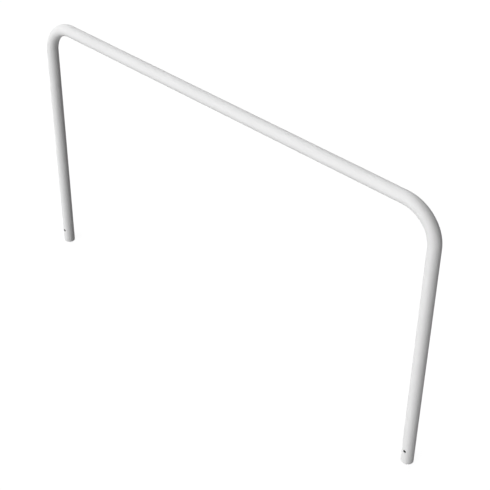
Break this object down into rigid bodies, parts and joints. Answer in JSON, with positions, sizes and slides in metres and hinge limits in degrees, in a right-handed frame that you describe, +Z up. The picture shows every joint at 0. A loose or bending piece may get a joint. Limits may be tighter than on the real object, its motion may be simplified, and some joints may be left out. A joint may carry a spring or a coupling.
{
  "type": "hoop barrier",
  "caption": "Fixed hoop barrier: a round steel tube bent into a wide square-shouldered arch, with cross-drilled feet for casting in the ground and a plug in each open end.",
  "frame": {"origin": "middle of the hoop, half-way between the two legs, at the level of the sawn feet", "axes": "+X along the rail towards the right leg, +Y through the hoop and away from the viewer, along the anchor holes, +Z up along the legs"},
  "size_m": [2.5, 0.0604, 1.4],
  "materials": {
    "coated_steel": "white powder coat, satin, over zinc-coated steel",
    "plug_plastic": "moulded black polyethylene, matt"
  },
  "bodies": {
    "root": {"hoop_tube": "coated_steel", "left_end_plug": "plug_plastic", "right_end_plug": "plug_plastic"}
  },
  "joints": []
}
